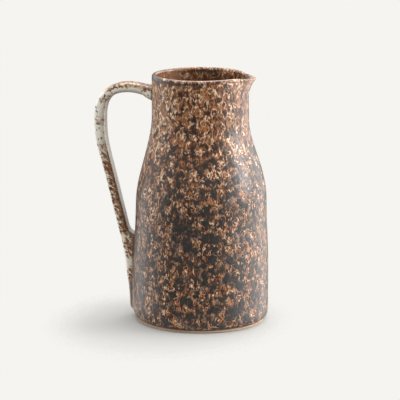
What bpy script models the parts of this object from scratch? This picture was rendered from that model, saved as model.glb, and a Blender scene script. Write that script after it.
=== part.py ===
"""Stoneware carafe: a thrown pot with a pinched lip, a bare foot ring and a strap handle luted on with slip.

Metres, +Z up. The pot stands on Z = 0, the lip points to +X and the handle to -X. The origin is on that
surface, midway between the belly's front and the handle's back, so the pot's own axis lies beside it.
"""

from math import cos, hypot, pi, radians, sin

import bmesh
import bpy
from mathutils import Vector
from mathutils.geometry import interpolate_bezier

# Pot: outer radii, and the heights where the wall changes from one to the next
RIM_HEIGHT = 0.240
NECK_RADIUS = 0.0463
NECK_LENGTH = 0.040
SHOULDER_RADIUS = 0.0632
SHOULDER_HEIGHT = 0.118
BELLY_RADIUS = 0.0654
BELLY_HEIGHT = 0.055
BASE_CORNER = 0.0055
WALL = 0.0052
RIM_WALL = 0.0042
FLOOR = 0.0065
FLOOR_FILLET = 0.009

# Pinched lip: how far it stands out, how far below the rim it starts, half its angle, and its drop at the tip
LIP_REACH = 0.0074
LIP_DEPTH = 0.023
LIP_HALF_ANGLE = radians(24)
LIP_DROP = 0.0016

# Foot ring, set in from the belly
FOOT_INSET = 0.0042
FOOT_WIDTH = 0.0085
FOOT_HEIGHT = 0.0022
FOOT_EDGE = 0.0006

# Strap handle, given at its back, the outer face. Drops are below the rim, heights above the table, and gaps
# are the clear space between wall and strap. Below the heel the back stands proud of the wall, until the tail
# runs out into it
SEAT_DROP = 0.0128
CROWN_DROP = 0.0098
CROWN_OUT = 0.0217
BEND_DROP = 0.0452
FINGER_GAP = 0.0465
GRIP_HEIGHT = 0.1400
GRIP_GAP = 0.0241
HEEL_HEIGHT = 0.0837
HEEL_GAP = 0.0061
ROOT_HEIGHT = 0.0550
ROOT_PROUD = 0.0086
TAIL_HEIGHT = 0.0135
TAIL_PROUD = 0.0040
TAIL_RUN = 0.0105
SEAT_WIDTH = 0.0230
SEAT_THICKNESS = 0.0130
STRAP_WIDTH = 0.0190
CROWN_THICKNESS = 0.0094
BEND_THICKNESS = 0.0102
GRIP_WIDTH = 0.0170
GRIP_THICKNESS = 0.0087

# Lengths over which the strap widens into its upper seat and thickens into its lower root
SEAT_FLARE = 0.008
ROOT_FLARE = 0.008

# Slip that lutes the handle to the wall, and the gap that every two pieces keep
SLIP = 0.0007
CLEARANCE = 0.0003

# How deep the handle's blanks run into the wall before they are trimmed to it
EMBED = 0.0060
# Squareness of the strap's section: 2 is an ellipse, higher is closer to a rectangle
STRAP_SQUARENESS = 5.0
# Length of the path's Bezier handles, as a share of the distance between its anchors
PATH_SOFTNESS = 0.44

# Facets
TURN_STEPS = 84
WALL_ROWS = 19
LIP_ROWS = 7
ARC_STEPS = 4
STRAP_SIDES = 24
STRAP_STEPS = 9
SHARP_ANGLE = radians(40)
MERGE_DISTANCE = 0.00002

NECK_HEIGHT = RIM_HEIGHT - NECK_LENGTH
UNDERSIDE = FOOT_HEIGHT + CLEARANCE
FLOOR_TOP = UNDERSIDE + FLOOR
BEND_HEIGHT = RIM_HEIGHT - BEND_DROP
HANDLE_BACK = NECK_RADIUS + FINGER_GAP + BEND_THICKNESS
AXIS_X = (HANDLE_BACK - BELLY_RADIUS) / 2

COLOURS = {
    "brown_glaze": ((0.180, 0.120, 0.085), 0.38),
    "pale_glaze": ((0.480, 0.430, 0.350), 0.38),
    "bare_clay": ((0.420, 0.270, 0.170), 0.85),
    "slip": ((0.480, 0.430, 0.350), 0.80),
}


def ease(share):
    """Smooth S-curve from 0 to 1, flat at both ends."""
    share = min(1.0, max(0.0, share))
    return share * share * (3 - 2 * share)


def outer_radius(height):
    """Outer radius of the wall: a nearly straight belly, an S-shaped shoulder and a straight neck."""
    shoulder = ease((NECK_HEIGHT - height) / (NECK_HEIGHT - SHOULDER_HEIGHT))
    belly = ease((SHOULDER_HEIGHT - height) / (SHOULDER_HEIGHT - BELLY_HEIGHT))
    radius = NECK_RADIUS + (SHOULDER_RADIUS - NECK_RADIUS) * shoulder
    return radius + (BELLY_RADIUS - SHOULDER_RADIUS) * belly


def wall_at(height):
    """Wall thickness, thinning evenly from the floor to the rim."""
    return WALL + (RIM_WALL - WALL) * (height - FLOOR_TOP) / (RIM_HEIGHT - FLOOR_TOP)


def spread(low, high, count):
    """Evenly spaced values from low to high, both included."""
    return [low + (high - low) * i / (count - 1) for i in range(count)]


def arc(centre, radius, start, end):
    """Points (radius, height) of an arc in the profile plane, angles in radians."""
    angles = spread(start, end, ARC_STEPS + 1)
    return [(centre[0] + radius * cos(angle), centre[1] + radius * sin(angle)) for angle in angles]


def wall_heights(low):
    """Heights of the wall's rows from low up to the round of the rim, closer together at the lip."""
    lip_foot = RIM_HEIGHT - LIP_DEPTH
    return spread(low, lip_foot, WALL_ROWS)[:-1] + spread(lip_foot, RIM_HEIGHT - RIM_WALL / 2, LIP_ROWS)


def outer_side(offset=0.0):
    """The pot's outside from the rim down to the underside, grown by offset."""
    corner = (outer_radius(UNDERSIDE + BASE_CORNER) - BASE_CORNER, UNDERSIDE + BASE_CORNER)
    wall = [(outer_radius(z) + offset, z) for z in reversed(wall_heights(corner[1]))]
    return wall[:-1] + arc(corner, BASE_CORNER + offset, 0, -pi / 2)


def pot_profile():
    """Half section of the pot: floor, inner wall, round rim, outer wall and underside."""
    fillet_top = FLOOR_TOP + FLOOR_FILLET
    fillet = (outer_radius(fillet_top) - wall_at(fillet_top) - FLOOR_FILLET, fillet_top)
    inner = [(outer_radius(z) - wall_at(z), z) for z in wall_heights(fillet_top)]
    rim = arc((NECK_RADIUS - RIM_WALL / 2, RIM_HEIGHT - RIM_WALL / 2), RIM_WALL / 2, pi, 0)
    floor = [(0, FLOOR_TOP)] + arc(fillet, FLOOR_FILLET, -pi / 2, 0)
    return floor + inner[1:-1] + rim + outer_side()[1:] + [(0, UNDERSIDE)]


def envelope_profile(offset):
    """Half section of a solid with the pot's outside, grown by offset and closed at the rim's height."""
    side = outer_side(offset)
    return [(0, RIM_HEIGHT), (side[0][0], RIM_HEIGHT)] + side + [(0, side[-1][1])]


def foot_profile():
    """Half section of the foot ring, with its four edges eased."""
    outer = BELLY_RADIUS - FOOT_INSET
    inner = outer - FOOT_WIDTH
    return [
        (inner, FOOT_HEIGHT - FOOT_EDGE),
        (inner + FOOT_EDGE, FOOT_HEIGHT),
        (outer - FOOT_EDGE, FOOT_HEIGHT),
        (outer, FOOT_HEIGHT - FOOT_EDGE),
        (outer, FOOT_EDGE),
        (outer - FOOT_EDGE, 0),
        (inner + FOOT_EDGE, 0),
        (inner, FOOT_EDGE),
    ]


def handle_anchors():
    """Anchors of the strap's back, seat to tail: place (out from the axis, height) and heading."""
    seat_top = RIM_HEIGHT - SEAT_DROP
    seat = outer_radius(seat_top)
    grip = outer_radius(GRIP_HEIGHT) + GRIP_GAP + GRIP_THICKNESS
    heel = outer_radius(HEEL_HEIGHT) + HEEL_GAP + GRIP_THICKNESS
    root = outer_radius(ROOT_HEIGHT) + ROOT_PROUD
    tail = outer_radius(TAIL_HEIGHT) + TAIL_PROUD
    out, down = Vector((1, 0)), Vector((0, -1))
    slope = Vector((heel - grip, HEEL_HEIGHT - GRIP_HEIGHT)).normalized()
    root_slope = Vector((tail - root, TAIL_HEIGHT - ROOT_HEIGHT)).normalized()
    run_out = Vector((-2 * TAIL_PROUD, -TAIL_RUN))
    return [
        (Vector((seat - EMBED, seat_top)), out),
        (Vector((seat + CROWN_OUT, RIM_HEIGHT - CROWN_DROP)), out),
        (Vector((HANDLE_BACK, BEND_HEIGHT)), down),
        (Vector((grip, GRIP_HEIGHT)), slope),
        (Vector((heel, HEEL_HEIGHT)), slope),
        (Vector((root, ROOT_HEIGHT)), root_slope),
        (Vector((tail, TAIL_HEIGHT)), down),
        (Vector((tail, TAIL_HEIGHT)) + run_out, run_out.normalized()),
    ]


def strap_size(place):
    """Width and thickness where the strap's back is at a place, from seat to tail."""
    rise = ease((place.y - BEND_HEIGHT) / (BEND_DROP - CROWN_DROP))
    taper = ease((BEND_HEIGHT - place.y) / (BEND_HEIGHT - GRIP_HEIGHT))
    width = STRAP_WIDTH + (GRIP_WIDTH - STRAP_WIDTH) * taper
    thick = BEND_THICKNESS
    thick += (CROWN_THICKNESS - BEND_THICKNESS) * rise + (GRIP_THICKNESS - BEND_THICKNESS) * taper
    clear = place.x - outer_radius(place.y)
    if place.y > BEND_HEIGHT:
        flare = ease(1 - clear / SEAT_FLARE)
        width += (SEAT_WIDTH - STRAP_WIDTH) * flare
        thick += (SEAT_THICKNESS - CROWN_THICKNESS) * flare
    thick += (clear + EMBED - thick) * ease((HEEL_HEIGHT - place.y) / ROOT_FLARE)
    return width, thick


def handle_sections():
    """Sections along the strap: place of its back, heading, width and thickness."""
    sections = []
    anchors = handle_anchors()
    for (start, heading), (end, next_heading) in zip(anchors, anchors[1:]):
        pull = PATH_SOFTNESS * (end - start).length
        leave, arrive = start + heading * pull, end - next_heading * pull
        path = interpolate_bezier(start, leave, arrive, end, STRAP_STEPS + 1)
        for place, following in zip(path, path[1:]):
            sections.append((place, (following - place).normalized(), *strap_size(place)))
    place, heading = anchors[-1]
    return sections + [(place, heading, *strap_size(place))]


def strap_ring(section):
    """Points of one strap section, a rounded rectangle square to its heading and inward of its back."""
    back, heading, width, thick = section
    inward = Vector((heading.y, -heading.x))
    ring = []
    for i in range(STRAP_SIDES):
        c, s = cos(2 * pi * i / STRAP_SIDES), sin(2 * pi * i / STRAP_SIDES)
        size = (abs(c) ** STRAP_SQUARENESS + abs(s) ** STRAP_SQUARENESS) ** (-1 / STRAP_SQUARENESS)
        place = back + inward * (thick / 2 * (1 + size * s))
        ring.append((-place.x, size * c * width / 2, place.y))
    return ring


def new_object(name, mesh, collection, parent):
    """An object for a mesh, shaded smooth, in a collection and on a parent."""
    mesh.shade_smooth()
    mesh.set_sharp_from_angle(angle=SHARP_ANGLE)
    thing = bpy.data.objects.new(name, mesh)
    collection.objects.link(thing)
    thing.parent = parent
    return thing


def turned(name, profile, closed, collection, parent):
    """A turned solid: the half section, spun about Z by a Screw modifier and kept as a mesh."""
    outline = bpy.data.meshes.new(name)
    edges = [(i, i + 1) for i in range(len(profile) - 1)]
    if closed:
        edges.append((len(profile) - 1, 0))
    outline.from_pydata([(radius, 0, height) for radius, height in profile], edges, [])
    blank = bpy.data.objects.new(name + "_outline", outline)
    collection.objects.link(blank)
    screw = blank.modifiers.new("turn", "SCREW")
    screw.steps = screw.render_steps = TURN_STEPS
    screw.use_merge_vertices = True
    screw.merge_threshold = MERGE_DISTANCE
    spun = bpy.data.meshes.new_from_object(blank.evaluated_get(bpy.context.evaluated_depsgraph_get()))
    bpy.data.objects.remove(blank)
    spun.name = name
    return new_object(name, spun, collection, parent)


def lofted(name, sections, collection, parent):
    """A strap lofted through its sections, with flat ends."""
    shape = bmesh.new()
    rings = [[shape.verts.new(point) for point in strap_ring(section)] for section in sections]
    for ring, following in zip(rings, rings[1:]):
        for i in range(STRAP_SIDES):
            j = (i + 1) % STRAP_SIDES
            shape.faces.new((ring[i], ring[j], following[j], following[i]))
    shape.faces.new(rings[0])
    shape.faces.new(rings[-1])
    bmesh.ops.recalc_face_normals(shape, faces=shape.faces)
    mesh = bpy.data.meshes.new(name)
    shape.to_mesh(mesh)
    shape.free()
    return new_object(name, mesh, collection, parent)


def pull_lip(pot):
    """Pinches the pouring lip: the rim over +X is drawn out and a little down, fading round and below it."""
    for vertex in pot.data.vertices:
        radius = hypot(vertex.co.x, vertex.co.y)
        if radius == 0 or vertex.co.x <= 0:
            continue
        off_axis = abs(vertex.co.y) / radius
        round_it = ease(1 - off_axis / sin(LIP_HALF_ANGLE))
        up_it = ease(1 - (RIM_HEIGHT - vertex.co.z) / LIP_DEPTH)
        pull = LIP_REACH * round_it * up_it
        vertex.co.x += pull * vertex.co.x / radius
        vertex.co.y += pull * vertex.co.y / radius
        vertex.co.z -= LIP_DROP * round_it * up_it


def boolean(target, operation, other):
    """A live Boolean on a piece."""
    modifier = target.modifiers.new(operation.lower() + "_" + other.name, "BOOLEAN")
    modifier.operation = operation
    modifier.object = other


def finish(piece, slot):
    """Gives a piece its material."""
    colour, roughness = COLOURS[slot]
    material = bpy.data.materials.get(slot) or bpy.data.materials.new(slot)
    material.use_nodes = True
    shader = material.node_tree.nodes["Principled BSDF"]
    shader.inputs["Base Color"].default_value = (*colour, 1)
    shader.inputs["Roughness"].default_value = roughness
    shader.inputs["Metallic"].default_value = 0
    piece.data.materials.clear()
    piece.data.materials.append(material)


def new_collection(name):
    collection = bpy.data.collections.new(name)
    bpy.context.scene.collection.children.link(collection)
    return collection


def cutter(name, offset, collection, parent):
    """A hidden solid with the pot's outside grown by offset, which trims what sits on the wall."""
    tool = turned(name, envelope_profile(offset), False, collection, parent)
    tool.hide_render = True
    tool.display_type = "WIRE"
    return tool


def main():
    for old in list(bpy.data.objects):
        bpy.data.objects.remove(old)
    parts = new_collection("carafe")
    cutters = new_collection("cutters")
    axis = bpy.data.objects.new("pot_axis", None)
    axis.location.x = AXIS_X
    parts.objects.link(axis)

    pot = turned("pot", pot_profile(), False, parts, axis)
    pull_lip(pot)
    finish(pot, "brown_glaze")

    foot = turned("foot_ring", foot_profile(), True, parts, axis)
    finish(foot, "bare_clay")

    wall = cutter("wall_face", CLEARANCE, cutters, axis)
    slip_face = cutter("slip_face", CLEARANCE + SLIP, cutters, axis)
    seat_face = cutter("seat_face", 2 * CLEARANCE + SLIP, cutters, axis)

    sections = handle_sections()
    handle = lofted("handle", sections, parts, axis)
    boolean(handle, "DIFFERENCE", seat_face)
    finish(handle, "pale_glaze")

    upper_end = sections[: STRAP_STEPS + 1]
    lower_end = sections[4 * STRAP_STEPS :]
    for name, end in (("upper_handle_slip", upper_end), ("lower_handle_slip", lower_end)):
        slip = lofted(name, end, parts, axis)
        boolean(slip, "INTERSECT", slip_face)
        boolean(slip, "DIFFERENCE", wall)
        finish(slip, "slip")


main()
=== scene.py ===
from math import cos, pi, radians, sin, sqrt, tan

import bmesh
import bpy
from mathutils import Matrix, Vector
from mathutils.geometry import interpolate_bezier


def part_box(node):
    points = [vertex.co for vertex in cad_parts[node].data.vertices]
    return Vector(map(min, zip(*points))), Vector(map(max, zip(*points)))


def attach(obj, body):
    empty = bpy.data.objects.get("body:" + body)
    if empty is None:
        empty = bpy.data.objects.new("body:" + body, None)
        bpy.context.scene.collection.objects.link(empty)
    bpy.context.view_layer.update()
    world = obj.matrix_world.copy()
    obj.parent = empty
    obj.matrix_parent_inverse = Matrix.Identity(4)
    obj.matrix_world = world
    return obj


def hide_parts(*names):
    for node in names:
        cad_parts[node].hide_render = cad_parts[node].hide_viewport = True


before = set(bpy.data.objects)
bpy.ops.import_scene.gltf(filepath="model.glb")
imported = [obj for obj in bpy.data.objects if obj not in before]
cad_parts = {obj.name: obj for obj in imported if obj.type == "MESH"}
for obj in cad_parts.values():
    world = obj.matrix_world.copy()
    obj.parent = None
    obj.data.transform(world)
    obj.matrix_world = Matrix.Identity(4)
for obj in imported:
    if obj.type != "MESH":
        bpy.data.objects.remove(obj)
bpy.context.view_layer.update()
print("frame loaded:", ", ".join(sorted(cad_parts)))

scene = bpy.context.scene
scene.view_settings.view_transform = "Standard"

potLow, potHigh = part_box("pot")
axisX = (potLow.x + potHigh.x) / 2  # the pot turns about this line, beside the frame's origin


# camera, at the photograph's angle
cameraView = {
    "azimuth": radians(10),
    "pitch": radians(11.58),
    "distance": 2.3,  # level distance from the pot's axis
    "aimHeight": 0.11685,
    "aimAside": -0.00097,  # the axis sits a pixel right of the middle
    "lens": 218.7,
}


def addCamera(look):
    toward = Vector((sin(look["azimuth"]), -cos(look["azimuth"]), tan(look["pitch"])))
    aside = Vector((cos(look["azimuth"]), sin(look["azimuth"]), 0))
    aim = Vector((axisX, 0, look["aimHeight"])) + aside * look["aimAside"]
    turned = (pi / 2 - look["pitch"], 0, look["azimuth"])
    bpy.ops.object.camera_add(location=aim + toward * look["distance"], rotation=turned)
    camera = bpy.context.object
    camera.data.lens = look["lens"]
    scene.camera = camera


addCamera(cameraView)
print("camera placed")


# small helpers for node trees
def addNode(tree, kind, inputs=None, **settings):
    made = tree.nodes.new(kind)
    for name, value in settings.items():
        setattr(made, name, value)
    for name, value in (inputs or {}).items():
        plug(tree, value, made.inputs[name])
    return made


def plug(tree, value, socket):
    if isinstance(value, bpy.types.NodeSocket):
        tree.links.new(value, socket)
    elif socket.type == "RGBA":
        socket.default_value = (*value, 1)  # colours are written without their alpha
    else:
        socket.default_value = value


def calc(tree, operation, first, second=0.0, third=0.0):
    return addNode(tree, "ShaderNodeMath", {0: first, 1: second, 2: third}, operation=operation).outputs[0]


def plus(tree, first, second):
    return calc(tree, "ADD", first, second)


def minus(tree, first, second):
    return calc(tree, "SUBTRACT", first, second)


def times(tree, first, *others):
    for other in others:
        first = calc(tree, "MULTIPLY", first, other)
    return first


def offFrom(tree, value, middle):
    return calc(tree, "ABSOLUTE", minus(tree, value, middle))


# a value pushed to and fro by a noise, so that an edge drawn from it wanders
def swayed(tree, value, sway, amount):
    return calc(tree, "MULTIPLY_ADD", minus(tree, sway, 0.5), amount, value)


def vectorCalc(tree, operation, first, second=(0, 0, 0)):
    made = addNode(tree, "ShaderNodeVectorMath", {0: first, 1: second}, operation=operation)
    plain = operation in ("DOT_PRODUCT", "LENGTH", "DISTANCE")
    return made.outputs["Value" if plain else "Vector"]


def noise(tree, place, size, detail=2.0, roughness=0.5, distortion=0.0):
    values = {"Vector": place, "Scale": 1 / size}
    values.update({"Detail": detail, "Roughness": roughness, "Distortion": distortion})
    return addNode(tree, "ShaderNodeTexNoise", values).outputs


# eases from toLow to toHigh while a value goes from low to high, which may be the smaller one
def step(tree, value, low, high, toLow=0.0, toHigh=1.0):
    values = {"Value": value, "From Min": low, "From Max": high, "To Min": toLow, "To Max": toHigh}
    return addNode(tree, "ShaderNodeMapRange", values, interpolation_type="SMOOTHSTEP").outputs[0]


def mixColour(tree, share, first, second):
    return addNode(tree, "ShaderNodeMix", {0: share, 6: first, 7: second}, data_type="RGBA").outputs[2]


def ramp(tree, share, places, colours):
    made = addNode(tree, "ShaderNodeValToRGB", {"Fac": share})
    elements = made.color_ramp.elements
    while len(elements) < len(places):
        elements.new(0.5)
    for element, place, colour in zip(elements, places, colours):
        element.position = place
        element.color = (*colour, 1)
    return made.outputs["Color"]


def picked(look, *names):
    return [look[name] for name in names]


def attribute(tree, name):
    return addNode(tree, "ShaderNodeAttribute", attribute_name=name).outputs["Fac"]


def newMaterial(name):
    material = bpy.data.materials.new(name)
    material.use_nodes = True
    tree = material.node_tree
    return material, tree, tree.nodes["Principled BSDF"]


# studio: a pale floor, a big soft key high on the right and glowing walls at both sides
studio = {
    "backdrop": (0.913, 0.905, 0.871),
    "floorColour": (0.458, 0.454, 0.437),
    "floorCentre": (-0.010, -0.017, 0),
    "floorReach": (0.128, 0.178, 1),  # sideways and in depth
    "floorFade": 0.56,  # from this share of its reach outwards the floor melts into the backdrop
    "floorSides": 96,
    "floorMirrored": (0.080, 0.120),  # beyond this from the pot's axis the glaze mirrors the room instead
    "keyAzimuth": radians(130),
    "keyHeight": radians(68),
    "keyStrength": 1.0,
    "keyAngle": radians(50),
    "lowGlow": 0.17,  # all round, below the table's level and above it
    "highGlow": 1.10,
    "glowRise": (-0.25, 0.35),  # rises and tops are how steeply a direction points up, from -1 to 1
    "topGlow": 0.72,
    "topRise": (0.30, 0.95),
    "wallRise": (-0.30, 0.30),
    "wallTop": (0.70, 0.30),
    "rightGlow": 1.90,
    "rightTurn": radians(100),  # turns are from the camera, to the right
    "rightSpread": (0.35, 1.0),
    "rightLift": 0.95,  # a wall's glow above the table, as a share of that below
    "leftGlow": 1.4,
    "leftTurn": radians(-118),
    "leftSpread": (0.45, 1.0),
    "leftLift": 0.35,
    "backGlow": 0.70,
    "backTurn": radians(152),
    "backSpread": (0.0, 0.9),
    "windowGlow": 9.0,  # a brighter pane in the right wall, mirrored on the shoulder
    "windowTurn": radians(88),
    "windowHeight": radians(14),
    "windowSize": (radians(17), radians(5.1)),  # sizes are where a soft edge starts and ends
    "behindDim": 0.20,  # a dark card behind, a little to the left, keeps the outlines crisp
    "behindTurn": radians(185),
    "behindSize": (radians(44), radians(20)),
    "frontDim": 0.32,  # and the room is dim around the camera, above the table
    "frontSize": (radians(72), radians(34)),
    "frontRise": (0.0, 0.15),
    "frontTop": (0.60, 0.44),
}


def heading(azimuth, height):
    return Vector((sin(azimuth) * cos(height), -cos(azimuth) * cos(height), sin(height)))


# how nearly a direction is the one at this turn from the camera
def towards(tree, direction, turned, height=0.0):
    return vectorCalc(tree, "DOT_PRODUCT", direction, heading(cameraView["azimuth"] + turned, height))


# a soft disc about that heading
def disc(tree, nearness, size, toLow=0.0, toHigh=1.0):
    return step(tree, nearness, cos(size[0]), cos(size[1]), toLow, toHigh)


def addFloor(look):
    bpy.ops.object.select_all(action="DESELECT")
    widest = max(look["floorReach"][:2])
    bpy.ops.mesh.primitive_circle_add(vertices=look["floorSides"], radius=widest, fill_type="NGON")
    floor = bpy.context.object
    floor.name = "floor"
    bpy.ops.object.mode_set(mode="EDIT")
    bpy.ops.transform.translate(value=look["floorCentre"])
    bpy.ops.object.mode_set(mode="OBJECT")
    material, tree, shader = newMaterial("pale paper")
    plug(tree, look["floorColour"], shader.inputs["Base Color"])
    shader.inputs["Roughness"].default_value = 1.0
    shader.inputs["Specular IOR Level"].default_value = 0.0
    place = addNode(tree, "ShaderNodeTexCoord").outputs["Object"]
    outward = vectorCalc(tree, "SUBTRACT", place, look["floorCentre"])
    outward = vectorCalc(tree, "DIVIDE", outward, look["floorReach"])
    fade = step(tree, vectorCalc(tree, "LENGTH", outward), 1.0, look["floorFade"])
    fromAxis = vectorCalc(tree, "DISTANCE", place, (axisX, 0, 0))
    isGlossy = addNode(tree, "ShaderNodeLightPath").outputs["Is Glossy Ray"]
    hidden = times(tree, isGlossy, step(tree, fromAxis, *look["floorMirrored"]))
    plug(tree, times(tree, fade, minus(tree, 1.0, hidden)), shader.inputs["Alpha"])
    floor.data.materials.append(material)


def addKey(look):
    toKey = heading(look["keyAzimuth"], look["keyHeight"])
    bpy.ops.object.light_add(type="SUN", location=toKey, rotation=toKey.to_track_quat("Z", "Y").to_euler())
    key = bpy.context.object.data
    key.energy = look["keyStrength"]
    key.angle = look["keyAngle"]


def addRoom(look):
    world = bpy.data.worlds.new("studio")
    world.use_nodes = True
    scene.world = world
    tree = world.node_tree
    direction = addNode(tree, "ShaderNodeTexCoord").outputs["Generated"]
    upward = vectorCalc(tree, "DOT_PRODUCT", direction, (0, 0, 1))

    walls = 0.0
    for side in ("right", "left"):
        toSide = towards(tree, direction, look[side + "Turn"])
        wall = step(tree, toSide, *look[side + "Spread"], 0, look[side + "Glow"])
        lift = step(tree, upward, *look["wallRise"], 1.0, look[side + "Lift"])
        walls = plus(tree, walls, times(tree, wall, lift))
    walls = times(tree, walls, step(tree, upward, *look["wallTop"]))
    toWindow = towards(tree, direction, look["windowTurn"], look["windowHeight"])
    window = disc(tree, toWindow, look["windowSize"], 0, look["windowGlow"])
    toBack = towards(tree, direction, look["backTurn"])
    back = step(tree, toBack, *look["backSpread"], 0, look["backGlow"])
    around = step(tree, upward, *look["glowRise"], look["lowGlow"], look["highGlow"])
    top = step(tree, upward, *look["topRise"], 0, look["topGlow"])
    glow = plus(tree, plus(tree, walls, window), plus(tree, back, plus(tree, around, top)))

    toBehind = towards(tree, direction, look["behindTurn"], -cameraView["pitch"])
    behind = disc(tree, toBehind, look["behindSize"], 1.0, look["behindDim"])
    front = times(tree, disc(tree, towards(tree, direction, 0), look["frontSize"]),
                  step(tree, upward, *look["frontRise"]), step(tree, upward, *look["frontTop"]))
    glow = times(tree, glow, behind, step(tree, front, 0, 1, 1.0, look["frontDim"]))

    lit = tree.nodes["Background"]
    plug(tree, (1, 1, 1), lit.inputs["Color"])
    plug(tree, glow, lit.inputs["Strength"])
    seen = addNode(tree, "ShaderNodeBackground", {"Color": look["backdrop"], "Strength": 1.0})
    isCamera = addNode(tree, "ShaderNodeLightPath").outputs["Is Camera Ray"]
    both = addNode(tree, "ShaderNodeMixShader", {0: isCamera, 1: lit.outputs[0], 2: seen.outputs[0]})
    plug(tree, both.outputs[0], tree.nodes["World Output"].inputs["Surface"])


addFloor(studio)
addKey(studio)
addRoom(studio)
print("studio lit")


# speckled reactive glaze, shared by the pot and the handle; sizes are in metres, ranges are of a noise
glaze = {
    "driftSize": 0.0045,
    "drift": 0.0030,
    "upright": 0.56,  # worms and ground are drawn out up the wall by this squeeze
    "groundSize": 0.0036,
    "grainSize": 0.0014,
    "graininess": (0.9, 0.66),  # of the plain ground and the creamy one
    "lacyFrom": (0.1, 0.6),  # how much cream makes the glaze lacy
    "warmth": 0.075,  # how much rustier the ground is where the glaze is creamy
    "toneRange": (0.29, 0.71),
    "toneStops": (0.20, 0.50, 0.76, 1.0),
    "patchSize": 0.0095,
    "gather": (0.36, 0.58),  # worms gather in these patches, and between them the ground is dusky
    "wormSize": 0.0032,
    "laceSize": 0.0046,  # worms are larger where the glaze is creamy
    "wormWidth": 0.090,
    "creamWidth": 0.066,  # and wider by this
    "coreShare": 0.46,  # the pale middle of a worm
    "coreGrain": (0.36, 0.56, 0.25, 1.0),
    "wormRelief": 0.5,
    "breakSize": 0.0042,
    "breaks": (0.34, 0.54),
    "poolSize": 0.0062,
    "dropSize": 0.0070,
    "dropUnlike": 0.5,  # how unlike in size the drops are
    "dropShare": 0.35,
    "wormHold": 0.16,  # worms hold the pools off
    "poolEdge": (0.43, 0.68),
    "fringe": (0.34, 0.58, 0, 0.75),
    "deepStops": (0.30, 0.50, 0.72),
    "roughness": (0.34, 0.28),  # of the ground and the pools
    "ior": 1.52,
    "bump": 0.00014,
    "pit": (0.0162, 0.0170, 0.0158),
    "charcoal": (0.0248, 0.0262, 0.0244),
    "slate": (0.0460, 0.0466, 0.0418),
    "dusk": (0.0350, 0.0210, 0.0145),
    "clove": (0.0880, 0.0520, 0.0365),
    "mauve": (0.1550, 0.1000, 0.0760),
    "sand": (0.3000, 0.2000, 0.1450),
    "umber": (0.029, 0.0110, 0.0046),
    "brown": (0.088, 0.0290, 0.0096),
    "rust": (0.220, 0.075, 0.021),
    "orange": (0.380, 0.155, 0.054),
    "amber": (0.260, 0.095, 0.029),
    "tan": (0.930, 0.680, 0.480),
    "cream": (0.930, 0.760, 0.530),
}


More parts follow.
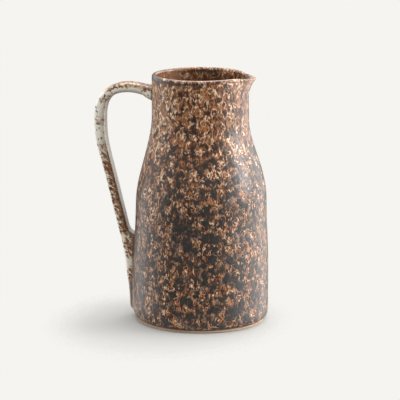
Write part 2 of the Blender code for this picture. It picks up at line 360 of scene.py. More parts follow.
def makeGlazeGroup(look):
    group = bpy.data.node_groups.new("speckled glaze", "ShaderNodeTree")
    sockets = group.interface
    sockets.new_socket("Vector", in_out="INPUT", socket_type="NodeSocketVector")
    for name in ("Pools", "Worms", "Cream"):
        sockets.new_socket(name, in_out="INPUT", socket_type="NodeSocketFloat")
    sockets.new_socket("Color", in_out="OUTPUT", socket_type="NodeSocketColor")
    for name in ("Roughness", "Height"):
        sockets.new_socket(name, in_out="OUTPUT", socket_type="NodeSocketFloat")
    given = addNode(group, "NodeGroupInput").outputs
    result = addNode(group, "NodeGroupOutput").inputs

    # wander, so that no edge runs true
    drift = noise(group, given["Vector"], look["driftSize"])["Color"]
    drift = vectorCalc(group, "SUBTRACT", drift, (0.5, 0.5, 0.5))
    drift = vectorCalc(group, "MULTIPLY", drift, (look["drift"],) * 3)
    place = vectorCalc(group, "ADD", given["Vector"], drift)
    tall = vectorCalc(group, "MULTIPLY", place, (1, 1, look["upright"]))

    # cloudy ground, from umber to orange in the patches and from dusk to sand between them
    patch = noise(group, given["Vector"], look["patchSize"])[0]
    grain = noise(group, tall, look["grainSize"], roughness=0.6)[0]
    ground = noise(group, tall, look["groundSize"], roughness=0.6)[0]
    lacy = step(group, given["Cream"], *look["lacyFrom"])
    cloudy = swayed(group, ground, grain, step(group, lacy, 0, 1, *look["graininess"]))
    tone = calc(group, "MULTIPLY_ADD", given["Cream"], look["warmth"], cloudy)
    tone = step(group, tone, *look["toneRange"])
    rusty = ramp(group, tone, look["toneStops"], picked(look, "umber", "brown", "rust", "orange"))
    dusky = ramp(group, tone, look["toneStops"], picked(look, "dusk", "clove", "mauve", "sand"))
    gathered = step(group, plus(group, patch, given["Worms"]), *look["gather"])
    colour = mixColour(group, calc(group, "MAXIMUM", gathered, lacy), dusky, rusty)

    # pale worms: the lines along which one noise crosses its middle, broken up and gathered in patches
    curl = noise(group, tall, look["wormSize"], 1, distortion=0.4)[0]
    lace = noise(group, tall, look["laceSize"], 1, distortion=0.6)[0]
    curl = plus(group, curl, times(group, lacy, minus(group, lace, curl)))
    line = offFrom(group, curl, 0.5)
    width = calc(group, "MULTIPLY_ADD", given["Cream"], look["creamWidth"], look["wormWidth"])
    broken = step(group, noise(group, place, look["breakSize"], 1)[0], *look["breaks"])
    gathered = times(group, broken, gathered)
    worm = times(group, gathered, step(group, line, width, 0.0))
    core = times(group, gathered, step(group, line, times(group, width, look["coreShare"]), 0.0))
    core = times(group, core, step(group, grain, *look["coreGrain"]))
    pale = mixColour(group, given["Cream"], look["tan"], look["cream"])
    colour = mixColour(group, worm, colour, look["amber"])
    colour = mixColour(group, core, colour, pale)

    # charcoal pools: drops that run together in soft patches
    drops = addNode(group, "ShaderNodeTexVoronoi", {"Vector": place, "Scale": 1 / look["dropSize"]}).outputs
    unlike = addNode(group, "ShaderNodeSeparateColor", {0: drops["Color"]}).outputs[0]
    drop = minus(group, times(group, unlike, look["dropUnlike"]), drops["Distance"])
    runs = noise(group, place, look["poolSize"], 1)[0]
    pool = calc(group, "MULTIPLY_ADD", drop, look["dropShare"], runs)
    pool = plus(group, pool, given["Pools"])
    pool = minus(group, pool, times(group, worm, look["wormHold"]))
    pooled = step(group, pool, *look["poolEdge"])
    deep = ramp(group, grain, look["deepStops"], picked(look, "pit", "charcoal", "slate"))
    deep = mixColour(group, lacy, deep, look["umber"])
    colour = mixColour(group, step(group, pool, *look["fringe"]), colour, look["umber"])
    colour = mixColour(group, pooled, colour, deep)

    plug(group, colour, result["Color"])
    plug(group, step(group, pooled, 0, 1, *look["roughness"]), result["Roughness"])
    plug(group, calc(group, "MULTIPLY_ADD", worm, look["wormRelief"], pooled), result["Height"])
    return group


glazeGroup = makeGlazeGroup(glaze)


def dressGlaze(tree, shader, place, pools, worms, cream):
    recipe = {"Vector": place, "Pools": pools, "Worms": worms, "Cream": cream}
    made = addNode(tree, "ShaderNodeGroup", recipe, node_tree=glazeGroup).outputs
    relief = addNode(tree, "ShaderNodeBump", {"Height": made["Height"], "Distance": glaze["bump"]})
    plug(tree, relief.outputs[0], shader.inputs["Normal"])
    plug(tree, made["Roughness"], shader.inputs["Roughness"])
    shader.inputs["IOR"].default_value = glaze["ior"]
    return made


# over the pot: cream on the neck, charcoal on the body, a brown liner inside and a thin glaze on the rim,
# with a painted highlight along its near crest
potLook = {
    "neckGlaze": 0.214,  # above this the neck's mix, below the next the body's
    "bodyGlaze": 0.168,
    "pools": (-0.090, 0.065),  # on the neck and on the body
    "shoulderPools": 0.03,  # and so many more on the shoulder
    "shoulderTop": (0.178, 0.165),  # rises, tops and lows are heights, asides are from the axis to the lip
    "shoulderLow": (0.125, 0.138),
    "neckWorms": 0.10,
    "wormLow": 0.146,
    "sideWorms": 0.11,  # on the neck, more on the handle's side and fewer on the lip's
    "neckRise": (0.165, 0.195),
    "handleSide": (-0.010, -0.038),
    "lipSide": (0.005, 0.042),
    "creamRise": (0.100, 0.205, 0.1, 0.75),
    "creamAside": (-0.045, 0.045, 1.5, 0.6),
    "bandWaveSize": 0.006,
    "bandWave": 0.004,
    "bandLow": (0.2339, 0.2355),
    "bandTop": (0.2380, 0.2372),
    "bandLift": (-0.026, -0.042, 0, 0.004),  # the band goes up over the rim beside the handle
    "bandAside": (0.022, 0.002, 0, 0.85),
    # painted light and shade inside: the first liner colour is for the lit side by the handle, the second
    # for the shaded side away from it
    "liner": (0.190, 0.084, 0.040),
    "linerInShade": (0.075, 0.026, 0.010),
    "linerSize": 0.014,
    "linerSway": 0.05,
    "linerShade": (-0.036, -0.008),
    "linerFlecks": (0.35, 0.65, 0.05, 0.30),
    "linerDepth": (0.50, 0.75),  # share of the wall's thickness
    "fleckRise": (0.2270, 0.2360),
    "fleckAside": (-0.034, -0.012),
    "lipPale": (0.55, 0.36, 0.25),
    "lipAside": (0.042, 0.053),
    "lipRise": (0.222, 0.236, 0, 0.55),
    # a pale line along the near crest of the rim: partly glaze breaking, partly a painted highlight
    "rimBreakAndHighlight": (0.36, 0.29, 0.25),
    "rimRise": (0.2389, 0.2398, 0, 0.45),
    "rimNear": (0.020, -0.015),
    "rimAside": (-0.040, -0.015),
    "rimGloss": (0.2345, 0.2385, 0, 0.16),
}


def makePotGlaze(look):
    material, tree, shader = newMaterial("brown glaze")
    place = addNode(tree, "ShaderNodeTexCoord").outputs["Object"]
    apart = addNode(tree, "ShaderNodeSeparateXYZ", {0: place}).outputs
    height = apart["Z"]
    aside = minus(tree, apart["X"], axisX)

    # the mix changes with the height and with the side
    pools = step(tree, height, look["neckGlaze"], look["bodyGlaze"], *look["pools"])
    onShoulder = step(tree, height, *look["shoulderTop"])
    onShoulder = times(tree, onShoulder, step(tree, height, *look["shoulderLow"]))
    pools = plus(tree, pools, times(tree, onShoulder, look["shoulderPools"]))
    worms = step(tree, height, look["neckGlaze"], look["wormLow"], look["neckWorms"], 0)
    sided = minus(tree, step(tree, aside, *look["handleSide"]), step(tree, aside, *look["lipSide"]))
    sided = times(tree, sided, step(tree, height, *look["neckRise"]), look["sideWorms"])
    cream = times(tree, step(tree, height, *look["creamRise"]), step(tree, aside, *look["creamAside"]))
    made = dressGlaze(tree, shader, place, pools, plus(tree, worms, sided), cream)
    colour = made["Color"]

    # charcoal gathers under the rim on the handle's side
    wave = noise(tree, place, look["bandWaveSize"])[0]
    band = swayed(tree, height, wave, look["bandWave"])
    lifted = minus(tree, band, step(tree, aside, *look["bandLift"]))
    band = times(tree, step(tree, band, *look["bandLow"]), step(tree, lifted, *look["bandTop"]))
    band = times(tree, band, step(tree, aside, *look["bandAside"]))
    colour = mixColour(tree, band, colour, glaze["charcoal"])

    # brown liner, painted lighter on the handle's side where light falls in and painted darker away from it,
    # in shade; the flecks run in over it just below the rim
    mottle = noise(tree, place, look["linerSize"], 3)[0]
    shade = step(tree, swayed(tree, aside, mottle, look["linerSway"]), *look["linerShade"])
    liner = mixColour(tree, shade, look["liner"], look["linerInShade"])
    liner = mixColour(tree, step(tree, mottle, *look["linerFlecks"]), liner, made["Color"])
    flecked = times(tree, step(tree, height, *look["fleckRise"]), step(tree, aside, *look["fleckAside"]))
    inside = step(tree, attribute(tree, "within"), *look["linerDepth"])
    colour = mixColour(tree, times(tree, inside, minus(tree, 1.0, flecked)), colour, liner)

    # the glaze breaks pale over the lip; the pale line along the near crest of the rim is partly that break
    # and partly a painted highlight
    lip = times(tree, step(tree, aside, *look["lipAside"]), step(tree, height, *look["lipRise"]))
    colour = mixColour(tree, lip, colour, look["lipPale"])
    crestBreakAndHighlight = times(tree, step(tree, height, *look["rimRise"]), step(tree, apart["Y"], *look["rimNear"]),
                  step(tree, aside, *look["rimAside"]))
    colour = mixColour(tree, crestBreakAndHighlight, colour, look["rimBreakAndHighlight"])
    plug(tree, colour, shader.inputs["Base Color"])
    gloss = step(tree, height, *look["rimGloss"])
    plug(tree, minus(tree, made["Roughness"], gloss), shader.inputs["Roughness"])
    return material


# the handle is dipped paler: brown breaks through in slanting strokes, and the tail is under the pot's glaze
paleGlaze = {
    # back, side and edge: white to grey across the strap, from thinner glaze and from painted shade
    "back": (0.95, 0.91, 0.81),
    "side": (0.90, 0.850, 0.730),
    "edge": (0.64, 0.585, 0.475),
    "paleStops": (0.10, 0.45, 0.90),
    "near": (0.0, -0.0045),  # the side towards the camera
    "thin": (0.60, 0.560, 0.470),  # on the other side
    "cloud": (0.47, 0.375, 0.265),
    "cloudSize": 0.012,
    "cloudSway": 0.8,
    "stain": (0.45, 0.66, 0, 0.8),
    # inner: a darker grey painted on the inner face for the pot's shade
    "inner": (0.34, 0.325, 0.255),
    "innerFace": (0.95, 0.995),  # faces and acrosses go from -1 on the back to 1 on the inner face
    "innerClean": 0.30,
    "leg": (0.184, 0.146),  # between these heights the leg takes more and more strokes
    "legShare": 0.85,
    "legStops": (0.02, 0.28, 0.56, 0.84),
    # the leg's colours from the back to the inner face, darkening towards it as painted shade
    "legCream": (0.82, 0.74, 0.58),
    "legTan": (0.64, 0.50, 0.35),
    "legBrown": (0.37, 0.220, 0.115),
    "legShade": (0.12, 0.052, 0.022),
    "legCover": (-0.9, 0.5, 0.09, 0.12),
    "bareTop": (0.0615, 0.0555),  # a bare stretch below the heel
    "bareLow": (0.0455, 0.0515),
    "bareShare": 0.8,
    "clusters": [(0.2130, 0.0042), (0.1930, 0.0060), (0.1680, 0.0050)],  # heights and half heights
    "clusterCore": 0.3,
    "clusterSway": 0.010,
    "clusterSmears": (-0.10, 0.08),  # off the clusters and on them
    "clusterCover": (-0.16, 0.01),
    "strokeLean": radians(-50),
    "strokeLength": 2.6,
    "strokeSize": 0.0018,
    "strokeGrain": 0.00108,
    "smearSize": 0.00288,
    "smeared": (0.54, 0.64, 0, 0.60),
    "covered": (0.55, 0.62),
    "coveredLeg": (0, 0.6, 0.85, 1),
    "cleanFace": (-0.40, -0.80, 0, 0.16),  # few strokes reach the near edge of the back
    "cleanLeg": 0.2,
    "farCover": 0.035,
    "cornerFace": 0.87,  # more strokes run along the corner of the inner face
    "cornerCover": (0.12, 0.02, 0, 0.14),
    "cornerAbove": 0.4,  # but only this share of them above the leg
    "milk": (0.90, 0.82, 0.66),
    "milkFrom": (0.49, 0.55),
    "milkAcross": (0.7, -0.1, 0.15, 1.0),
    "dark": (0.055, 0.020, 0.008),
    "middle": (0.170, 0.066, 0.025),
    "light": (0.420, 0.205, 0.088),
    "brownStops": (0.36, 0.50, 0.64),
    "arch": (0.60, 0.455, 0.305),  # the top of the strap is brown
    "archRise": (0.216, 0.228),
    "archAcross": (0.4, -0.7, -0.05, 0.150),
    "archTint": (0.01, 0.10, 0, 0.85),
    "seatGap": (0.016, 0.002, 0, 0.06),  # and so is its seat; gaps are from the pot's wall
    "seatAcross": (0.8, 0.1),
    "seatRise": (0.200, 0.210),
    "blotchSize": 0.0030,
    "blotched": (0.58, 0.64),
    # umber along the wall: glaze pooled in the joint and painted crease shade
    "seamGap": (0.0024, 0.00072, 0, 0.85),
    "seamRise": (0.038, 0.050),
    "tailRecipe": (0.02, 0.02, 0.15),  # pools, worms and cream of the pot's glaze
    "tailRise": (0.044, 0.032),
    "tailSway": 0.08,
    "tail": (0.36, 0.310, 0.270),
    "tailVeil": (0.08, 0.58),  # on the far side and the near one
    "veilBreaks": (0.36, 0.60, 0.45, 1.05),
    # painted highlight along the tail's seam on the near side
    "tailSeamHighlight": (0.42, 0.365, 0.320),
    "tailGap": (0.0022, 0.0003, 0, 0.75),
    "seamBreaks": (0.38, 0.60, 0.25, 1),
}


def makeHandleGlaze(look):
    material, tree, shader = newMaterial("pale glaze")
    place = addNode(tree, "ShaderNodeTexCoord").outputs["Object"]
    apart = addNode(tree, "ShaderNodeSeparateXYZ", {0: place}).outputs
    height = apart["Z"]
    near = step(tree, apart["Y"], *look["near"])
    inward = attribute(tree, "inward")
    wallGap = attribute(tree, "wallGap")

    # pale ground, thick and white on the back, thinner and greyer towards the inner face; the greying across
    # the strap is partly painted shade
    cloud = noise(tree, place, look["cloudSize"], 3)[0]
    thin = step(tree, swayed(tree, inward, cloud, look["cloudSway"]), -1.0, 1.0)
    pale = ramp(tree, thin, look["paleStops"], picked(look, "back", "side", "edge"))
    stained = mixColour(tree, step(tree, cloud, *look["stain"]), look["thin"], look["cloud"])
    pale = mixColour(tree, near, stained, pale)

    # browner on the leg, apart from the bare stretch; across the leg the colour darkens from cream on the
    # back to dark brown at the inner face, painted shade of the rounded strap
    bare = times(tree, step(tree, height, *look["bareTop"]), step(tree, height, *look["bareLow"]))
    onLeg = step(tree, height, *look["leg"])
    onLeg = times(tree, onLeg, calc(tree, "MULTIPLY_ADD", bare, -look["bareShare"], 1.0))
    offLeg = minus(tree, 1.0, onLeg)
    leg = ramp(tree, thin, look["legStops"], picked(look, "legCream", "legTan", "legBrown", "legShade"))
    pale = mixColour(tree, times(tree, onLeg, look["legShare"]), pale, leg)
    # painted shade: the inner face, which faces the pot and lies in its shade, is given a darker grey
    onInner = step(tree, inward, *look["innerFace"])
    pale = mixColour(tree, onInner, pale, look["inner"])

    # milky strokes slanting down across the leg
    lean = {"Vector": place, "Rotation": (0, look["strokeLean"], 0), "Scale": (1, 1, look["strokeLength"])}
    slanted = addNode(tree, "ShaderNodeMapping", lean, vector_type="TEXTURE").outputs[0]
    strokes = noise(tree, slanted, look["strokeSize"], 1.5, distortion=0.7)
    milky = addNode(tree, "ShaderNodeSeparateColor", {0: strokes["Color"]}).outputs[2]
    milky = times(tree, step(tree, milky, *look["milkFrom"]), step(tree, inward, *look["milkAcross"]), onLeg)
    colour = mixColour(tree, milky, pale, look["milk"])

    # light brown smears above it, gathered in clusters
    wavy = swayed(tree, height, cloud, look["clusterSway"])
    cluster = 0.0
    for middle, half in look["clusters"]:
        one = step(tree, offFrom(tree, wavy, middle), half, half * look["clusterCore"])
        cluster = calc(tree, "MAXIMUM", cluster, one)
    clean = times(tree, near, step(tree, inward, *look["cleanFace"]))
    clean = times(tree, clean, step(tree, onLeg, 0, 1, 1, look["cleanLeg"]))
    smears = noise(tree, slanted, look["smearSize"], 1.5, distortion=0.5)[0]
    smears = plus(tree, smears, step(tree, cluster, 0, 1, *look["clusterSmears"]))
    smeared = step(tree, minus(tree, smears, clean), *look["smeared"])
    colour = mixColour(tree, times(tree, smeared, offLeg), colour, look["legBrown"])

    # and dark brown strokes over all of it
    cover = plus(tree, strokes[0], times(tree, onLeg, step(tree, inward, *look["legCover"])))
    cover = plus(tree, cover, times(tree, offLeg, step(tree, cluster, 0, 1, *look["clusterCover"])))
    cover = minus(tree, cover, times(tree, onInner, look["innerClean"]))
    cover = plus(tree, minus(tree, cover, clean), step(tree, near, 1, 0, 0, look["farCover"]))
    corner = step(tree, offFrom(tree, inward, look["cornerFace"]), *look["cornerCover"])
    cover = plus(tree, cover, times(tree, corner, step(tree, onLeg, 0, 1, look["cornerAbove"], 1)))
    grain = noise(tree, slanted, look["strokeGrain"], roughness=0.6)[0]
    brown = ramp(tree, grain, look["brownStops"], picked(look, "dark", "middle", "light"))
    covered = times(tree, step(tree, cover, *look["covered"]), step(tree, onLeg, *look["coveredLeg"]))
    colour = mixColour(tree, covered, colour, brown)

    # brown blotches over the top of the arch and on the seat
    blotch = noise(tree, place, look["blotchSize"], 3, 0.6)[0]
    onArch = times(tree, step(tree, height, *look["archRise"]), step(tree, inward, *look["archAcross"]))
    colour = mixColour(tree, step(tree, onArch, *look["archTint"]), colour, look["arch"])
    onSeat = times(tree, step(tree, wallGap, *look["seatGap"]), step(tree, inward, *look["seatAcross"]),
                   step(tree, height, *look["seatRise"]))
    blotched = plus(tree, blotch, plus(tree, onArch, onSeat))
    colour = mixColour(tree, step(tree, blotched, *look["blotched"]), colour, brown)

    # umber along the wall where the strap meets it, pooled glaze and painted crease shade, and a veiled tail
    # whose pale seam is a painted highlight
    seam = times(tree, step(tree, wallGap, *look["seamGap"]), step(tree, height, *look["seamRise"]))
    colour = mixColour(tree, seam, colour, glaze["umber"])
    tail = dressGlaze(tree, shader, place, *look["tailRecipe"])["Color"]
    veil = times(tree, step(tree, near, 0, 1, *look["tailVeil"]), step(tree, blotch, *look["veilBreaks"]))
    tail = mixColour(tree, veil, tail, look["tail"])
    # painted highlight: a pale seam on the tail's near side, along the wall
    seam = times(tree, near, step(tree, wallGap, *look["tailGap"]), step(tree, blotch, *look["seamBreaks"]))
    tail = mixColour(tree, seam, tail, look["tailSeamHighlight"])
    onTail = step(tree, swayed(tree, height, blotch, look["tailSway"]), *look["tailRise"])
    plug(tree, mixColour(tree, onTail, colour, tail), shader.inputs["Base Color"])
    return material


# the unglazed clay of the foot
bareLook = {
    "grainSize": 0.0015,
    "stops": (0.30, 0.55, 0.75),
    "dark": (0.44, 0.28, 0.18),
    "middle": (0.60, 0.41, 0.28),
    "light": (0.70, 0.51, 0.37),
    "roughness": 0.9,
    "bump": 0.0002,
}


def makeBareClay(look):
    material, tree, shader = newMaterial("bare clay")
    place = addNode(tree, "ShaderNodeTexCoord").outputs["Object"]
    grain = noise(tree, place, look["grainSize"], 4, 0.7)[0]
    colour = ramp(tree, grain, look["stops"], picked(look, "dark", "middle", "light"))
    plug(tree, colour, shader.inputs["Base Color"])
    shader.inputs["Roughness"].default_value = look["roughness"]
    relief = addNode(tree, "ShaderNodeBump", {"Height": grain, "Distance": look["bump"]})
    plug(tree, relief.outputs[0], shader.inputs["Normal"])
    return material


potGlaze = makePotGlaze(potLook)
handleGlaze = makeHandleGlaze(paleGlaze)
bareClay = makeBareClay(bareLook)
print("glazes mixed")


# the thrown pot
pot = {
    "rimHeight": potHigh.z,
    "neckRadius": 0.0466,
    "neckHeight": 0.200,  # the shoulder starts here
    "shoulderRadius": 0.0632,
    "shoulderHeight": 0.118,
    "bellyRadius": (potHigh.x - potLow.x) / 2,
    "bellyHeight": 0.055,
    "baseCorner": 0.0072,
    "underside": potLow.z - 0.0009,  # the glaze hangs a little over the foot
    "wall": 0.0052,
    "rimWall": 0.0042,
    "rimDepth": 0.004,  # the rim is rounded over this height
    "floorTop": 0.009,
    "floorFillet": 0.009,
    "lipReach": 0.0082,
    "lipDepth": 0.022,
    "lipSweep": 1.9,  # the wall under it curves out more and more
    "lipHalfAngle": radians(27),
    "lipRoundness": 0.75,
    "lipDrop": 0.0026,
    "dropHalfAngle": radians(45),
    "neckLean": -0.0006,  # the neck leans to the handle, the shoulder swells to the lip's side
    "shoulderLean": 0.0006,
    "swellHeight": 0.144,
    "swellSpread": 0.045,
    "wobble": 0.0007,
    "wobbleSize": 0.05,
    "insidePoints": 24,
    "rimPoints": 8,
    "outsidePoints": 34,
    "filletPoints": 5,
    "cornerPoints": 7,
    "turns": 64,
    "levels": 2,
}


def ease(share):
    share = min(1.0, max(0.0, share))
    return share * share * (3 - 2 * share)


def wallRadius(height, look=pot):
    shoulder = ease((look["neckHeight"] - height) / (look["neckHeight"] - look["shoulderHeight"]))
    belly = ease((look["shoulderHeight"] - height) / (look["shoulderHeight"] - look["bellyHeight"]))
    radius = look["neckRadius"] + (look["shoulderRadius"] - look["neckRadius"]) * shoulder
    return radius + (look["bellyRadius"] - look["shoulderRadius"]) * belly


def wallThickness(height, look=pot):
    share = (height - look["floorTop"]) / (look["rimHeight"] - look["floorTop"])
    return look["wall"] + (look["rimWall"] - look["wall"]) * share


def spread(low, high, count):
    return [low + (high - low) * i / (count - 1) for i in range(count)]


def arc(centre, radius, start, end, count):
    return [(centre[0] + radius * cos(a), centre[1] + radius * sin(a)) for a in spread(start, end, count)]


# half section from the middle of the floor, up the inside, over the rim, down the outside and under
def potOutline(look):
    filletTop = look["floorTop"] + look["floorFillet"]
    filletOut = wallRadius(filletTop) - wallThickness(filletTop) - look["floorFillet"]
    fillet = arc((filletOut, filletTop), look["floorFillet"], -pi / 2, 0, look["filletPoints"])
    rimLow = look["rimHeight"] - look["rimDepth"]
    heights = spread(filletTop, rimLow, look["insidePoints"])
    inside = [(wallRadius(height) - wallThickness(height), height) for height in heights]
    half = look["rimWall"] / 2
    rim = arc((look["neckRadius"] - half, look["rimHeight"] - half), half, pi, 0, look["rimPoints"])
    cornerTop = look["underside"] + look["baseCorner"]
    cornerOut = wallRadius(cornerTop) - look["baseCorner"]
    corner = arc((cornerOut, cornerTop), look["baseCorner"], 0, -pi / 2, look["cornerPoints"])
    outside = [(wallRadius(height), height) for height in spread(rimLow, cornerTop, look["outsidePoints"])]
    top = [(0, look["floorTop"]), (filletOut / 2, look["floorTop"])]
    under = [(cornerOut / 2, look["underside"]), (0, look["underside"])]
    return top + fillet[:-1] + inside + rim + outside[:-1] + corner + under


# draws the outline point by point from one vertex and spins it about the pot's axis
def turn(name, outline, turns):
    bpy.ops.object.select_all(action="DESELECT")
    bpy.ops.mesh.primitive_plane_add(size=0.001)
    thing = bpy.context.object
    thing.name = name
    bpy.ops.object.mode_set(mode="EDIT")
    bpy.ops.mesh.merge(type="CENTER")
    places = [Vector((axisX + radius, 0, height)) for radius, height in outline]
    bpy.ops.transform.translate(value=places[0])
    for place, following in zip(places, places[1:]):
        bpy.ops.mesh.extrude_vertices_move(TRANSFORM_OT_translate={"value": following - place})
    bpy.ops.mesh.select_all(action="SELECT")
    bpy.ops.mesh.spin(steps=turns, angle=2 * pi, center=(axisX, 0, 0), axis=(0, 0, 1))
    bpy.ops.mesh.select_all(action="SELECT")
    bpy.ops.mesh.remove_doubles(threshold=0.00001)
    bpy.ops.mesh.normals_make_consistent(inside=False)
    bpy.ops.object.mode_set(mode="OBJECT")
    bpy.ops.object.shade_smooth()
    return thing


def smoothed(thing, levels):
    bpy.context.view_layer.objects.active = thing
    rounder = thing.modifiers.new("rounder", "SUBSURF")
    rounder.levels = rounder.render_levels = levels
    bpy.ops.object.modifier_apply(modifier=rounder.name)


# a thrown wall is never quite true
def wobbled(thing, amount, size):
    bpy.context.view_layer.objects.active = thing
    cloud = bpy.data.textures.new(thing.name + "Wobble", "CLOUDS")
    cloud.noise_scale = size
    wobble = thing.modifiers.new("wobble", "DISPLACE")
    wobble.texture = cloud
    wobble.texture_coords = "LOCAL"
    wobble.strength = amount
    bpy.ops.object.modifier_apply(modifier=wobble.name)


def leanOver(thing, look):
    for vertex in thing.data.vertices:
        above = (vertex.co.z - look["swellHeight"]) / look["swellSpread"]
        vertex.co.x += look["neckLean"] * ease(above) + look["shoulderLean"] * ease(1 - abs(above))


# draws the rim out and a little down over +X, fading round and below it
def pullLip(thing, look):
    for vertex in thing.data.vertices:
        out = Vector((vertex.co.x - axisX, vertex.co.y, 0))
        if out.x <= 0:
            continue
        aside = abs(out.y) / out.length
        upIt = max(0.0, 1 - (look["rimHeight"] - vertex.co.z) / look["lipDepth"]) ** look["lipSweep"]
        pull = ease(1 - aside / sin(look["lipHalfAngle"])) ** look["lipRoundness"]
        vertex.co += out.normalized() * look["lipReach"] * pull * upIt
        vertex.co.z -= look["lipDrop"] * ease(1 - aside / sin(look["dropHalfAngle"])) * upIt


# marks the inside for the liner: 0 on the outer skin, 1 on the inner one
def markInside(thing):
    within = thing.data.attributes.new("within", "FLOAT", "POINT")
    for vertex, stored in zip(thing.data.vertices, within.data):
        depth = wallRadius(vertex.co.z) - Vector((vertex.co.x - axisX, vertex.co.y)).length
        stored.value = min(1.0, max(0.0, depth / wallThickness(vertex.co.z)))


def makePot(look):
    thing = turn("thrownPot", potOutline(look), look["turns"])
    smoothed(thing, look["levels"])
    markInside(thing)
    pullLip(thing, look)
    leanOver(thing, look)
    wobbled(thing, look["wobble"], look["wobbleSize"])
    thing.data.materials.append(potGlaze)
    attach(thing, "root")
    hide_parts("pot")


makePot(pot)
print("pot thrown")


# the bare foot ring that shows below the glaze
footLow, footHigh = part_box("foot_ring")
foot = {
    "outer": (footHigh.x - footLow.x) / 2,
    "width": 0.0085,
    "height": footHigh.z,
    "edge": 0.0007,
    "edgePoints": 4,
    "turns": 64,
    "levels": 1,
}


def footOutline(look):
    inner = look["outer"] - look["width"]
    edge = look["edge"]
    corners = [
        ((inner + edge, look["height"] - edge), pi, pi / 2),
        ((look["outer"] - edge, look["height"] - edge), pi / 2, 0),
        ((look["outer"] - edge, edge), 0, -pi / 2),
        ((inner + edge, edge), -pi / 2, -pi),
    ]
    points = []
    for centre, start, end in corners:
        points += arc(centre, edge, start, end, look["edgePoints"])
    return points + points[:1]


def makeFoot(look):
    thing = turn("footRing", footOutline(look), look["turns"])
    smoothed(thing, look["levels"])
    thing.data.materials.append(bareClay)
    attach(thing, "root")
    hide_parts("foot_ring")


makeFoot(foot)
print("foot ring turned")


# the pulled strap handle, given along its back, the outer face
strap = {
    "seatDrop": 0.0128,  # drops are below the rim
    "crownDrop": 0.0095,
    "crownOut": 0.0235,
    "bendDrop": 0.0442,
    "fingerGap": 0.0465,  # gaps are clear space between wall and strap
    "gripHeight": 0.1400,
    "gripGap": 0.0241,
    "heelHeight": 0.0837,
    "heelGap": 0.0061,
    "rootHeight": 0.0550,  # below the heel the back stands proud of the wall
    "rootProud": 0.0086,
    "tailHeight": 0.0128,
    "tailProud": 0.0040,
    "tailRun": 0.0088,  # and runs out over this length, to this depth in the wall
    "tailSink": 0.0032,
    "seatWidth": 0.0230,
    "seatThickness": 0.0130,
    "width": 0.0190,
    "crownThickness": 0.0094,
    "bendThickness": 0.0108,
    "gripWidth": 0.0170,
    "gripThickness": 0.0090,
    "seatFlare": 0.008,
    "rootFlare": 0.008,
    "embed": 0.0025,  # how far the ends run into the wall
    "squareness": 5.0,
    "softness": 0.44,  # how far each bend reaches towards the next
    "sides": 32,
    "steps": 12,
    "fillet": 0.0025,
    "levels": 2,
}


# where the back passes, out from the axis and up, and which way it runs there
def strapAnchors(look):
    rim = pot["rimHeight"]
    seat = wallRadius(rim - look["seatDrop"])
    back = pot["neckRadius"] + look["fingerGap"] + look["bendThickness"]
    grip = wallRadius(look["gripHeight"]) + look["gripGap"] + look["gripThickness"]
    heel = wallRadius(look["heelHeight"]) + look["heelGap"] + look["gripThickness"]
    root = wallRadius(look["rootHeight"]) + look["rootProud"]
    tail = wallRadius(look["tailHeight"]) + look["tailProud"]
    out = Vector((1, 0))
    down = Vector((0, -1))
    slope = Vector((heel - grip, look["heelHeight"] - look["gripHeight"])).normalized()
    rootSlope = Vector((tail - root, look["tailHeight"] - look["rootHeight"])).normalized()
    runOut = Vector((-look["tailProud"] - look["tailSink"], -look["tailRun"]))
    return [
        (Vector((seat - look["embed"], rim - look["seatDrop"])), out),
        (Vector((seat + look["crownOut"], rim - look["crownDrop"])), out),
        (Vector((back, rim - look["bendDrop"])), down),
        (Vector((grip, look["gripHeight"])), slope),
        (Vector((heel, look["heelHeight"])), slope),
        (Vector((root, look["rootHeight"])), rootSlope),
        (Vector((tail, look["tailHeight"])), down),
        (Vector((tail, look["tailHeight"])) + runOut, runOut.normalized()),
    ]


def strapSize(place, look):
    bend = pot["rimHeight"] - look["bendDrop"]
    rise = ease((place.y - bend) / (look["bendDrop"] - look["crownDrop"]))
    taper = ease((bend - place.y) / (bend - look["gripHeight"]))
    width = look["width"] + (look["gripWidth"] - look["width"]) * taper
    thick = look["bendThickness"] + (look["crownThickness"] - look["bendThickness"]) * rise
    thick += (look["gripThickness"] - look["bendThickness"]) * taper
    clear = place.x - wallRadius(place.y)
    if place.y > bend:
        flare = ease(1 - clear / look["seatFlare"])
        width += (look["seatWidth"] - look["width"]) * flare
        thick += (look["seatThickness"] - look["crownThickness"]) * flare
    thick += (clear + look["embed"] - thick) * ease((look["heelHeight"] - place.y) / look["rootFlare"])
    return width, thick


def strapStations(look):
    stations = []
    anchors = strapAnchors(look)
    for (start, way), (end, nextWay) in zip(anchors, anchors[1:]):
        pull = look["softness"] * (end - start).length
        path = interpolate_bezier(start, start + way * pull, end - nextWay * pull, end, look["steps"] + 1)
        stations += [(place, (following - place).normalized()) for place, following in zip(path, path[1:])]
    return stations + [anchors[-1]]


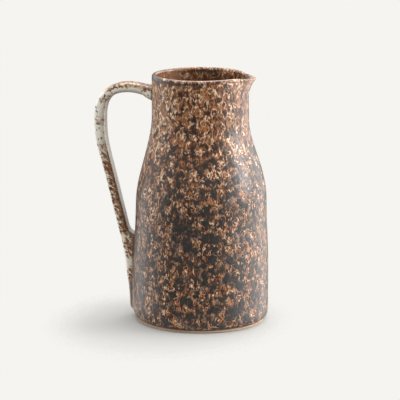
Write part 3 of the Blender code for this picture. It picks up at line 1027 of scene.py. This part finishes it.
def strapRing(station, look):
    back, way = station
    width, thick = strapSize(back, look)
    inward = Vector((way.y, -way.x))
    square = look["squareness"]
    ring = []
    for i in range(look["sides"]):
        angle = 2 * pi * i / look["sides"]
        size = (abs(cos(angle)) ** square + abs(sin(angle)) ** square) ** (-1 / square)
        facing = size * sin(angle)
        place = back + inward * (thick / 2 * (1 + facing))
        ring.append((Vector((axisX - place.x, size * cos(angle) * width / 2, place.y)), facing))
    return ring


# starts as one filled ring and is pulled out ring by ring
def pullStrap(name, look):
    bpy.ops.object.select_all(action="DESELECT")
    bpy.ops.mesh.primitive_circle_add(vertices=look["sides"], radius=look["width"] / 2, fill_type="NGON")
    thing = bpy.context.object
    thing.name = name
    bpy.ops.object.mode_set(mode="EDIT")
    shape = bmesh.from_edit_mesh(thing.data)
    inward = shape.verts.layers.float.new("inward")  # -1 on the strap's back, 1 on its inner face
    for index, station in enumerate(strapStations(look)):
        if index:
            bpy.ops.mesh.extrude_region_move()
        end = next(face for face in shape.faces if face.select)
        for vertex, (place, facing) in zip(end.verts, strapRing(station, look)):
            vertex.co = place
            vertex[inward] = facing
    bpy.ops.mesh.select_all(action="SELECT")
    bpy.ops.mesh.normals_make_consistent(inside=False)
    bpy.ops.object.mode_set(mode="OBJECT")
    bpy.ops.object.shade_smooth()
    return thing


# draws the clay out along the wall where the strap meets it, as a thumb does
def smoothOntoWall(thing, look):
    reach = look["fillet"]
    moves = []
    for vertex in thing.data.vertices:
        out = Vector((vertex.co.x - axisX, vertex.co.y, 0))
        gap = out.length - wallRadius(vertex.co.z)
        if gap > reach:
            continue
        short = reach - max(gap, 0.0)
        alongWall = vertex.normal - out.normalized() * vertex.normal.dot(out.normalized())
        moves.append((vertex, alongWall * (reach - sqrt(reach * reach - short * short))))
    for vertex, move in moves:
        vertex.co += move


# how far each point is from the pot's wall, for the seams
def markGap(thing):
    wallGap = thing.data.attributes.new("wallGap", "FLOAT", "POINT")
    for vertex, stored in zip(thing.data.vertices, wallGap.data):
        stored.value = Vector((vertex.co.x - axisX, vertex.co.y)).length - wallRadius(vertex.co.z)


def makeHandle(look):
    thing = pullStrap("strapHandle", look)
    smoothed(thing, look["levels"])
    smoothOntoWall(thing, look)
    markGap(thing)
    thing.data.materials.append(handleGlaze)
    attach(thing, "root")
    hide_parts("handle", "upper_handle_slip", "lower_handle_slip")


makeHandle(strap)
print("handle pulled and luted on")
